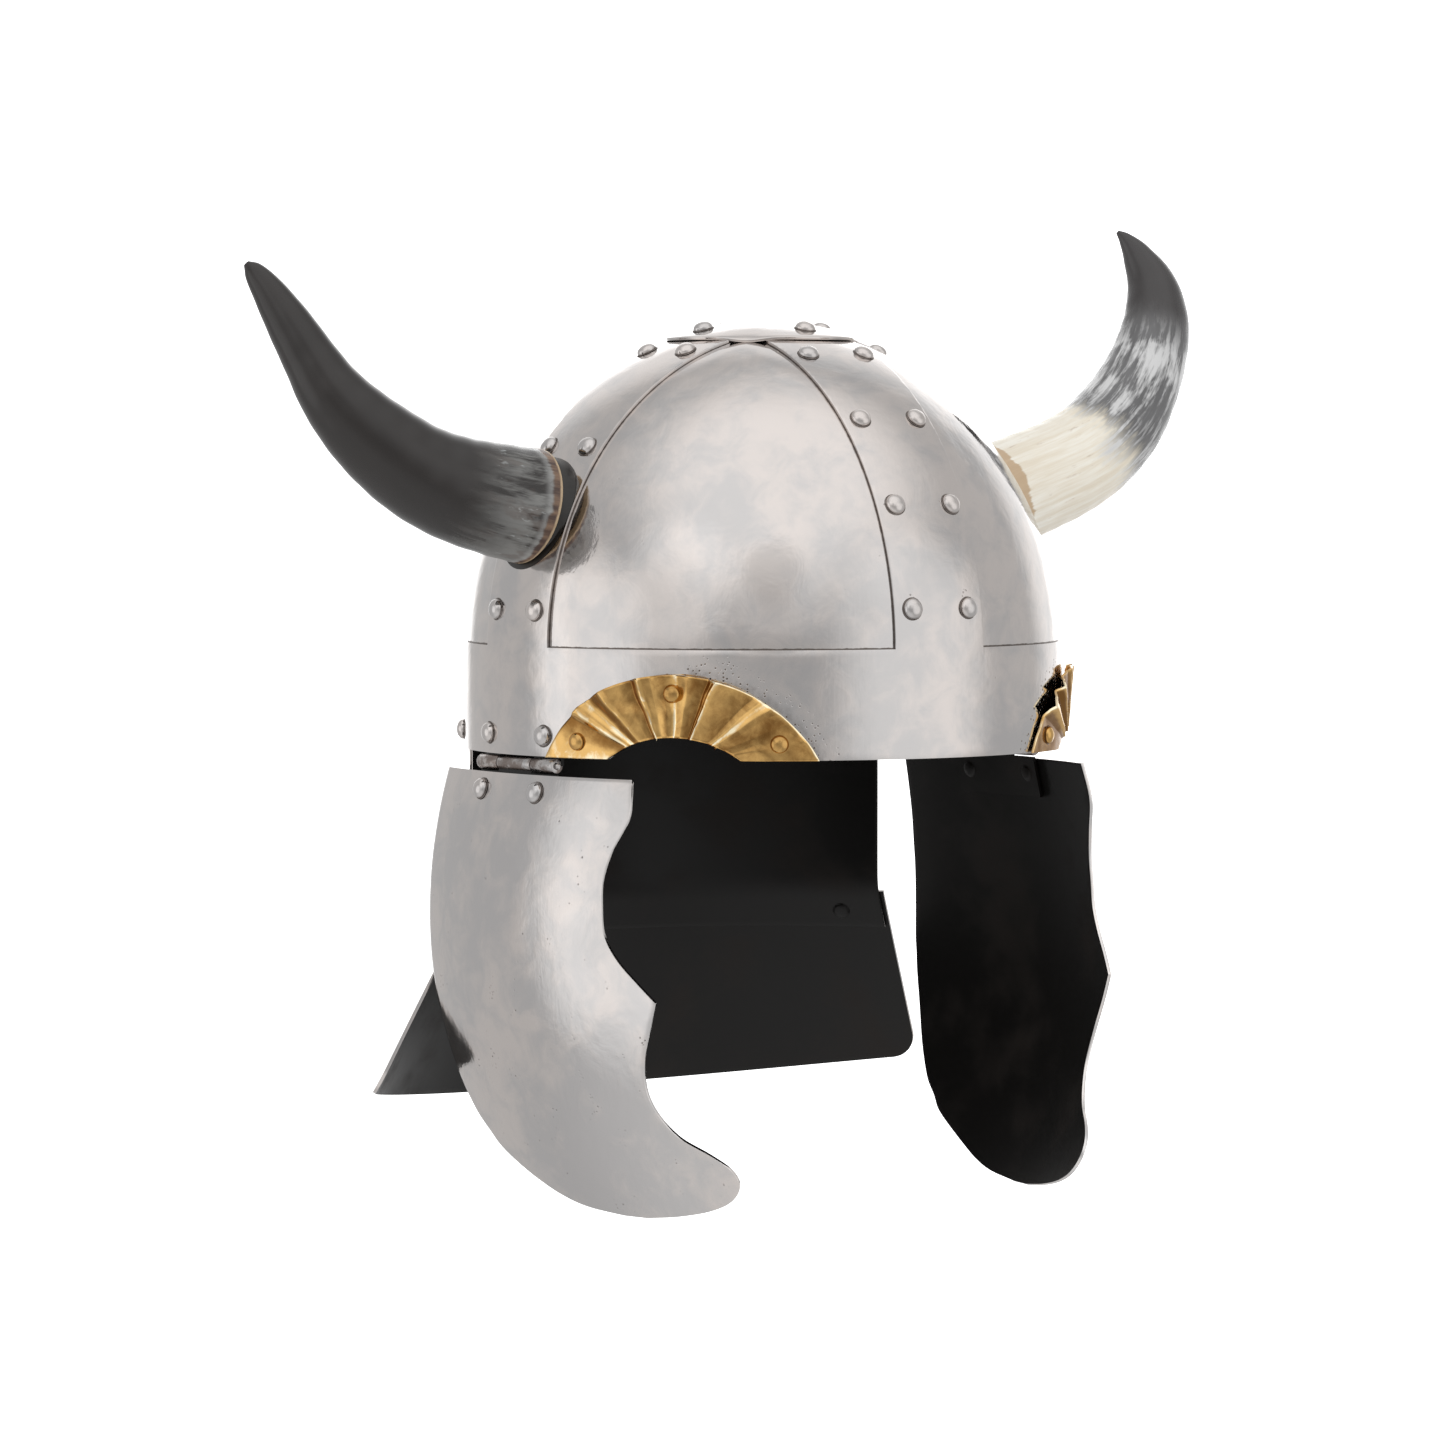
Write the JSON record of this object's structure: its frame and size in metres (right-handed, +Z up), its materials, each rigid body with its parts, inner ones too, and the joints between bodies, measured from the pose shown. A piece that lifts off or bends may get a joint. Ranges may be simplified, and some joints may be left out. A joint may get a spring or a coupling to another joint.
{
  "type": "viking helmet",
  "caption": "Riveted steel dome helmet with a cross-braced frame, two animal horns, fluted brass brow plates, hinged cheek plates and a flared neck guard",
  "frame": {"origin": "centre of the head opening, in the plane of the brow band's lower edge", "axes": "+Z up, the face looks along -Y, the wearer's left is +X"},
  "size_m": [0.4044, 0.2551, 0.35],
  "materials": {
    "polished_steel": "hand-polished sheet steel with faint dents, scratches and pits, painted matt black inside",
    "aged_brass": "polished brass sheet with a golden-brown tarnish",
    "black_paint": "matt black paint on sheet steel",
    "dark_horn": "polished natural horn, near black with grey streaks",
    "pale_horn": "polished natural horn, cream at the base with grey and white fibres and a dark tip",
    "stained_plug": "black-stained wooden plug"
  },
  "bodies": {
    "helmet": {"brow_plate_left": "aged_brass", "brow_plate_right": "aged_brass", "crown_disc": "polished_steel", "dome_frame": "polished_steel", "dome_panel_front_left": "polished_steel", "dome_panel_front_right": "polished_steel", "dome_panel_rear_left": "polished_steel", "dome_panel_rear_right": "polished_steel", "hinge_pin_left": "polished_steel", "hinge_pin_right": "polished_steel", "hinge_upper_leaf_left": "polished_steel", "hinge_upper_leaf_right": "polished_steel", "horn_left": "pale_horn", "horn_plug_left": "stained_plug", "horn_plug_right": "stained_plug", "horn_right": "dark_horn", "neck_plate_lower": "black_paint", "neck_plate_upper": "black_paint", "rivet_disc_front": "polished_steel", "rivet_disc_left": "polished_steel", "rivet_disc_rear": "polished_steel", "rivet_disc_right": "polished_steel", "rivet_front_0_0": "polished_steel", "rivet_front_0_1": "polished_steel", "rivet_front_1_0": "polished_steel", "rivet_front_1_1": "polished_steel", "rivet_front_2_0": "polished_steel", "rivet_front_2_1": "polished_steel", "rivet_front_3_0": "polished_steel", "rivet_front_3_1": "polished_steel", "rivet_left_0_0": "polished_steel", "rivet_left_0_1": "polished_steel", "rivet_left_1_0": "polished_steel", "rivet_left_1_1": "polished_steel", "rivet_left_2_0": "polished_steel", "rivet_left_2_1": "polished_steel", "rivet_rear_0_0": "polished_steel", "rivet_rear_0_1": "polished_steel", "rivet_rear_1_0": "polished_steel", "rivet_rear_1_1": "polished_steel", "rivet_rear_2_0": "polished_steel", "rivet_rear_2_1": "polished_steel", "rivet_rear_3_0": "polished_steel", "rivet_rear_3_1": "polished_steel", "rivet_right_0_0": "polished_steel", "rivet_right_0_1": "polished_steel", "rivet_right_1_0": "polished_steel", "rivet_right_1_1": "polished_steel", "rivet_right_2_0": "polished_steel", "rivet_right_2_1": "polished_steel"},
    "cheek_right": {"cheek_plate_right": "polished_steel", "hinge_lower_leaf_right": "polished_steel"},
    "cheek_left": {"cheek_plate_left": "polished_steel", "hinge_lower_leaf_left": "polished_steel"}
  },
  "joints": [
    {"name": "cheek_right_hinge", "type": "hinge", "parent": "helmet", "child": "cheek_right", "pos_m": [-0.105, 0, -0.0032], "axis": [0, 1, 0], "range_deg": [-25, 90]},
    {"name": "cheek_left_hinge", "type": "hinge", "parent": "helmet", "child": "cheek_left", "pos_m": [0.105, 0, -0.0032], "axis": [0, -1, 0], "range_deg": [-25, 90]}
  ]
}
